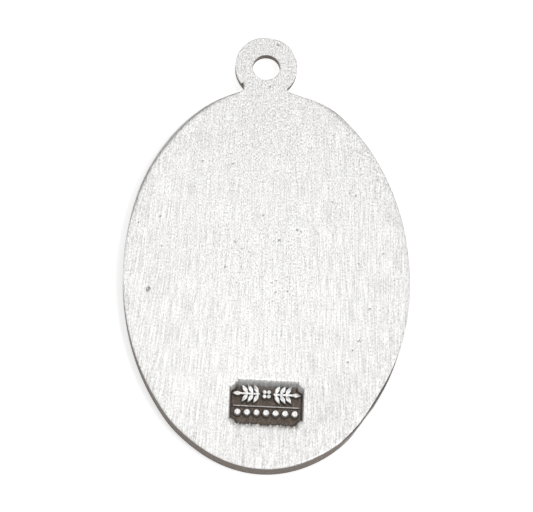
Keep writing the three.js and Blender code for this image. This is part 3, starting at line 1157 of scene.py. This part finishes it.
def darkness(vertices):
    """How dark each vertex is: oxide in deep and steep places and worn faces bright, with painted shade,
    painted light and a painted highlight on parts of the back, its edge and the panel.
    """
    plate, loop, panel = sizes("plate"), sizes("loop"), sizes("panel")
    flat, height = vertices[:, :2], vertices[:, 2]
    depth = NODE_HIGH.z - height
    away = flat - plate_middle()
    angles = np.arctan2(away[:, 1] / plate_height(), away[:, 0] / plate.width)
    # The edge is left clean by real wear and by a painted highlight where it catches bright light.
    rubbed = bump_sum(angles, WEAR_AND_SHEEN_SPOTS) * (1 - smooth(depth, *WEAR_AND_SHEEN_TO))
    edge = smooth(depth, *EDGE_DARKENS) * (1 - rubbed)
    bright_foot = bump_sum(angles, BURNISHED_SPOTS) * smooth(depth, *FOOT_BRIGHTENS)
    border = from_edge(away, angles)
    # Real dirt and painted shade along the edge.
    for spot in DIRT_AND_SHADE_SPOTS:
        near = 1 - smooth(border, 0.5 * spot.reach, 1.5 * spot.reach)
        edge = np.maximum(edge, bump_sum(angles, [spot]) * near)
    edge = edge * (1 - bright_foot)
    from_loop = np.linalg.norm(flat - loop_middle(), axis=1)
    neck_reach, neck_fade = 0.6 * MM, 0.3 * MM
    on_loop = smooth(loop.diameter / 2 + neck_reach - from_loop, 0, neck_fade)
    under = smooth(depth, loop.thickness - 0.16 * MM, loop.thickness - 0.02 * MM)
    on_wall = smooth(depth, *LOOP_DARKENS) * (1 - BRIGHTER_WALL * under)
    dark = edge + on_loop * (on_wall - edge)
    lip, spare = 0.03 * MM, 0.1 * MM
    hollow = inside(flat, panel_outline(-lip, -lip)) & (depth < panel.depth + spare)
    # Painted light: the panel's upper wall is kept lighter, as if lit from above.
    upper = 1 - smooth(panel.height / 2 - along_panel(flat), panel.top_slope, panel.top_slope + 0.12 * MM)
    sunk = smooth(depth, *PANEL_DARKENS) * (1 - BRIGHTER_WALL * upper)
    dark = np.where(hollow, sunk, dark)
    on_back = (depth < EDGE_DARKENS[0]) & ~hollow
    # The back also takes the halo round the panel, the stains with the spot of painted shade, and the painted
    # shade towards the bottom and the top.
    dark = np.where(on_back, np.maximum.reduce([dark, panel_halo(flat), stains_and_shade(away), veil(away)]), dark)
    return np.where(on_front_face(flat, height), front_darkness(flat, height), dark)


def from_edge(away, angles):
    """About how far points lie inside the plate's outline."""
    half = np.array([sizes("plate").width, plate_height()]) / 2
    share_out = np.linalg.norm(away / half, axis=1)
    slope = np.linalg.norm(away / half ** 2, axis=1) / share_out
    return (1 - share_out) / slope + bump_sum(angles, FILED_SPOTS)


def along_panel(flat):
    """How far points lie above the panel's middle, along the panel's own upright axis."""
    turned = sizes("panel").turned
    return (flat - panel_middle()) @ np.array([-math.sin(turned), math.cos(turned)])


def stains_and_shade(away):
    """The darkest of the stains, dark blobs and painted shade at each point, given from the plate's middle.
    """
    dark = np.zeros(len(away))
    for stain in STAINS_AND_SHADE:
        x = (away[:, 0] / MM - stain.x) / stain.width
        y = (away[:, 1] / MM - stain.y) / stain.height
        dark = np.maximum(dark, stain.amount * np.exp(-(x * x + y * y)))
    return dark


def veil(away):
    """Painted shade: the back is darkened thinly towards its bottom and its top, and faintly over the loop.
    """
    at_bottom, at_top, on_loop = 0.22, 0.15, 0.03
    toward = 0.4 * away[:, 0] - 0.85 * away[:, 1]
    bottom = at_bottom * smooth(toward, -2 * MM, 12 * MM)
    top = at_top * smooth(away[:, 1], 3 * MM, 11 * MM) + on_loop * smooth(away[:, 1], 13 * MM, 15 * MM)
    return np.maximum(bottom, top)


def panel_halo(flat):
    """The thin dark veil on the back round the panel, strongest under its lower lip."""
    panel = sizes("panel")
    lower = smooth(-along_panel(flat), panel.height * 0.2, panel.height * 0.5)
    away = distance_to(flat, ragged(panel_outline(0, 0)))
    strength = 0.16 + 0.44 * lower
    reach = (0.16 + 0.16 * lower) * MM
    return strength * np.exp(-away / reach)


def on_front_face(flat, height):
    """Which points lie on the front, inside the plate's wall."""
    spare, border = 0.06 * MM, 0.975
    return (height < sizes("front").depth + spare) & (share_outwards(flat) < border)


def front_darkness(flat, height):
    """The front is antiqued: dark in the corners of its relief and thinly on its field."""
    front = sizes("front")
    rim_foot = plate_outline(front.rim_width + front.slope)
    corner = np.minimum(distance_to(flat, rim_foot), distance_to(flat, cross_outline(front.relief_slope)))
    on_field, in_corners, reach = 0.22, 0.6, 0.28 * MM
    antique = on_field + in_corners * np.exp(-corner / reach)
    return antique * smooth(height, front.depth - 0.2 * MM, front.depth - 0.03 * MM)


def smooth(value, low, high):
    """0 up to low and 1 from high on, with a soft step between them."""
    along = np.clip((value - low) / (high - low), 0, 1)
    return along * along * (3 - 2 * along)


def paint_darkness(piece):
    """Stores the darkness in the point attribute that the silver reads."""
    number = len(piece.data.vertices)
    flat = np.zeros(number * 3, np.float32)
    piece.data.vertices.foreach_get("co", flat)
    layer = piece.data.attributes.new(OXIDE_AND_SHADE, "FLOAT", "POINT")
    layer.data.foreach_set("value", darkness(flat.reshape(-1, 3).astype(float)).astype(np.float32))


def grain_group():
    """Sandy grain: a mask of fine speckle, slightly drawn out along Y."""
    tree = Group("sandy_grain")
    place, scale = tree.takes("Vector", "Vector"), tree.takes("Scale")
    stretch = tree.takes("Stretch", default=0.55)
    coarse_scale, coarse_share = 0.35, 0.1
    drawn_out = tree.scaled(place, tree.vector(1.0, stretch, 1.0))
    fine = tree.noise(drawn_out, scale, detail=3.0, roughness=0.6)
    coarse = tree.noise(place, tree.times(scale, coarse_scale), detail=1.0)
    height = tree.plus(tree.times(fine, 1 - coarse_share), tree.times(coarse, coarse_share))
    low, high = 0.32, 0.56
    tree.gives("Mask", "Float", tree.ramp(height, low, high))
    return tree.data


def brush_group():
    """Brush lines that run along Y, and lean to the right on the left side: a mask."""
    tree = Group("brush_lines")
    place, across, along = tree.takes("Vector", "Vector"), tree.takes("Across"), tree.takes("Along")
    lean = tree.takes("Lean", default=0.14)
    x, y, z = tree.apart(place)
    upright_from, leaning_from = 1 * MM, -9 * MM
    on_left = tree.ramp(x, upright_from, leaning_from)
    shift = tree.times(tree.times(on_left, lean), y)
    leaning = tree.vector(tree.minus(x, shift), y, z)
    lines = tree.noise(tree.scaled(leaning, tree.vector(across, along, along)), roughness=0.55)
    low, high = 0.36, 0.64
    tree.gives("Mask", "Float", tree.ramp(lines, low, high))
    return tree.data


def press_group():
    """Where the brush pressed harder: a mask that grows towards the sides and the bottom."""
    tree = Group("brush_press")
    place, reach = tree.takes("Vector", "Vector"), tree.takes("Reach")
    x, y, _ = tree.apart(place)
    to_left, to_right, upwards = -1.0, 0.9, -0.6
    in_middle, cloud_scale = 0.35, 250.0
    sideways = tree.maths("MAXIMUM", tree.times(x, to_left), tree.times(x, to_right))
    toward = tree.plus(sideways, tree.times(y, upwards))
    pressed = tree.plus(tree.maths("DIVIDE", toward, reach), in_middle)
    cloudy = tree.minus(tree.noise(place, cloud_scale, detail=1.0), 0.5)
    tree.gives("Mask", "Float", tree.ramp(tree.plus(pressed, cloudy), 0.0, 1.0))
    return tree.data


def oxide_and_shade_group():
    """Dark tarnish and painted shade, with a ragged border: a mask and a colour."""
    tree = Group("silver_oxide")
    place, amount = tree.takes("Vector", "Vector"), tree.takes("Amount")
    ragged_share = tree.takes("Ragged", default=0.5)
    clean, dark, worn, thick = (tree.takes(key, "Color") for key in ("Clean", "Dark", "Worn", "Thick"))
    patch_scale = (9500.0, 4200.0, 6000.0)
    patches = tree.noise(tree.scaled(place, patch_scale), detail=3.0, roughness=0.65)
    swing = tree.times(tree.minus(patches, 0.5), ragged_share)
    first_dark, all_dark = 0.1, 0.85
    mask = tree.ramp(tree.plus(amount, swing), first_dark, all_dark, interpolation_type="SMOOTHSTEP")
    worn_from, all_worn = 0.48, 0.7
    tint = tree.mix(tree.ramp(patches, worn_from, all_worn), dark, worn)
    thick_from, all_thick = 1.0, 1.5
    tint = tree.mix(tree.ramp(amount, thick_from, all_thick), tint, thick)
    tree.gives("Mask", "Float", mask)
    tree.gives("Colour", "Color", tree.mix(mask, clean, tint))
    return tree.data


def silver_material():
    """Brushed and sand-blasted silver that has turned dark in its hollows and on its edge, and carries
    painted shade and light from the oxide attribute.
    """
    if MATERIAL in bpy.data.materials:
        return bpy.data.materials[MATERIAL]
    finish = sizes("finish")
    material = bpy.data.materials.new(MATERIAL)
    material.use_nodes = True
    tree = NodeTree(material.node_tree)
    shader = tree.data.nodes["Principled BSDF"]
    place = tree.node("ShaderNodeTexCoord", output="Object")

    def effect(group, **values):
        return tree.node("ShaderNodeGroup", {"Vector": place, **values}, "Mask", node_tree=group)

    # How much the hard brush took off the grain and added to the lines and the streaks
    off_grain, on_lines, on_streaks = 0.25, 0.2, 0.06
    brush = brush_group()
    press = effect(press_group(), Reach=finish.press_reach)
    grain = effect(grain_group(), Scale=1 / finish.grain_size)
    lines = effect(brush, Across=1 / finish.line_width, Along=1 / finish.line_length)
    streaks = effect(brush, Across=1 / finish.streak_width, Along=1 / finish.streak_length)
    sandy = tree.times(grain, tree.minus(finish.grain_share, tree.times(press, off_grain)))
    brushed = tree.times(lines, tree.plus(finish.line_share, tree.times(press, on_lines)))
    streaked = tree.times(streaks, tree.plus(finish.streak_share, tree.times(press, on_streaks)))
    texture = tree.plus(tree.plus(sandy, brushed), streaked)
    dark = effect(
        oxide_and_shade_group(),
        Amount=tree.node("ShaderNodeAttribute", output="Fac", attribute_name=OXIDE_AND_SHADE),
        Clean=tree.mix(texture, (*finish.grey, 1), (*finish.silver, 1)),
        Dark=(*finish.dark, 1),
        Worn=(*finish.worn_dark, 1),
        Thick=(*finish.thick_dark, 1),
    )
    dull, rougher, smoother = 0.55, 0.2, 0.08
    rough = tree.plus(finish.roughness, tree.times(dark, rougher))
    tree.join(dark.node.outputs["Colour"], shader.inputs["Base Color"])
    tree.join(tree.minus(1.0, tree.times(dark, dull)), shader.inputs["Metallic"])
    tree.join(tree.minus(rough, tree.times(texture, smoother)), shader.inputs["Roughness"])
    bump, bump_height = 0.5, 0.016 * MM
    relief = tree.node("ShaderNodeBump", {"Strength": bump, "Distance": bump_height, "Height": texture})
    tree.join(relief, shader.inputs["Normal"])
    return material


# Operators

class MEDAL_OT_body(bpy.types.Operator):
    """Build the medal: plate, loop, panel ornament and cross as one closed silver body"""

    bl_idname = "medal.body"
    bl_label = "Build medal"

    def execute(self, context):
        medal = plate_body()
        fused(medal, [loop_body(), ornament()])
        medal.name = "medal_body"
        medal.data.name = "medal_body"
        medal.data.materials.clear()
        medal.data.materials.append(silver_material())
        medal.data.shade_smooth()
        medal.data.set_sharp_from_angle(angle=SHARP_FROM)
        paint_darkness(medal)
        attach(medal, "root")
        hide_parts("medal")
        return {"FINISHED"}


class MEDAL_OT_stage(bpy.types.Operator):
    """Set up the pale floor, the soft light and the camera"""

    bl_idname = "medal.stage"
    bl_label = "Build stage"

    def execute(self, context):
        stage = sizes("stage")
        self.floor(stage)
        self.light(context, stage)
        self.camera(context, stage)
        context.scene.view_settings.view_transform = "Standard"
        return {"FINISHED"}

    def floor(self, stage):
        half = stage.floor_size / 2
        below = -0.01 * MM
        data = bpy.data.meshes.new("floor")
        corners = [(-half, -half, below), (half, -half, below), (half, half, below), (-half, half, below)]
        data.from_pydata(corners, [], [(0, 1, 2, 3)])
        floor = linked("floor", data)
        material = bpy.data.materials.new("pale_floor")
        material.use_nodes = True
        shader = material.node_tree.nodes["Principled BSDF"]
        shader.inputs["Base Color"].default_value = (*stage.floor, 1)
        shader.inputs["Roughness"].default_value = 0.9
        shader.inputs["Specular IOR Level"].default_value = 0.0
        shader.inputs["Emission Color"].default_value = (1, 1, 1, 1)
        shader.inputs["Emission Strength"].default_value = stage.floor_glow
        data.materials.append(material)

    def light(self, context, stage):
        world = bpy.data.worlds.new("studio")
        world.use_nodes = True
        background = world.node_tree.nodes["Background"]
        background.inputs["Color"].default_value = (*stage.sky, 1)
        background.inputs["Strength"].default_value = stage.sky_strength
        context.scene.world = world
        self.lamp("overhead_lamp", OVERHEAD_PLACE, stage.overhead_power, stage.overhead_size)
        self.lamp("side_lamp", SIDE_PLACE, stage.side_power, stage.side_size)

    def lamp(self, name, place, power, size):
        """A round soft lamp that shines at the medal."""
        data = bpy.data.lights.new(name, "AREA")
        data.shape = "DISK"
        data.size = size
        data.energy = power
        lamp = linked(name, data)
        lamp.location = place
        lamp.rotation_euler = (-lamp.location).to_track_quat("-Z", "Y").to_euler()

    def camera(self, context, stage):
        target = Vector((0, stage.target_y, NODE_HIGH.z))
        level = Vector((math.cos(stage.azimuth), math.sin(stage.azimuth), 0))
        back = level * math.sin(stage.tilt) + Vector((0, 0, 1)) * math.cos(stage.tilt)
        right = Vector((0, 1, 0)).cross(back).normalized()
        up = back.cross(right)
        data = bpy.data.cameras.new("camera")
        data.sensor_width = 36
        data.lens = stage.focal_pixels * data.sensor_width / IMAGE_WIDTH
        data.clip_start = 0.01
        data.clip_end = 10
        camera = linked("camera", data)
        turned = Matrix((right, up, back)).transposed()
        camera.matrix_world = Matrix.Translation(target + back * stage.distance) @ turned.to_4x4()
        context.scene.camera = camera


class MEDAL_PT_sidebar(bpy.types.Panel):
    """The medal's sizes and buttons in the sidebar"""

    bl_idname = "MEDAL_PT_sidebar"
    bl_label = "Medal"
    bl_space_type = "VIEW_3D"
    bl_region_type = "UI"
    bl_category = "Medal"

    def draw(self, context):
        for operator in OPERATORS:
            self.layout.operator(operator.bl_idname)
        for name, group in GROUPS.items():
            box = self.layout.box()
            box.label(text=group.__doc__)
            for key in group.__annotations__:
                box.prop(sizes(name), key)


OPERATORS = (MEDAL_OT_stage, MEDAL_OT_body)


def register():
    for name, group in GROUPS.items():
        bpy.utils.register_class(group)
        setattr(bpy.types.Scene, "medal_" + name, bpy.props.PointerProperty(type=group))
    for operator in OPERATORS:
        bpy.utils.register_class(operator)
    bpy.utils.register_class(MEDAL_PT_sidebar)


def unregister():
    bpy.utils.unregister_class(MEDAL_PT_sidebar)
    for operator in reversed(OPERATORS):
        bpy.utils.unregister_class(operator)
    for name, group in reversed(GROUPS.items()):
        delattr(bpy.types.Scene, "medal_" + name)
        bpy.utils.unregister_class(group)


def main():
    register()
    bpy.ops.medal.stage()
    bpy.ops.medal.body()


if __name__ == "__main__":
    main()
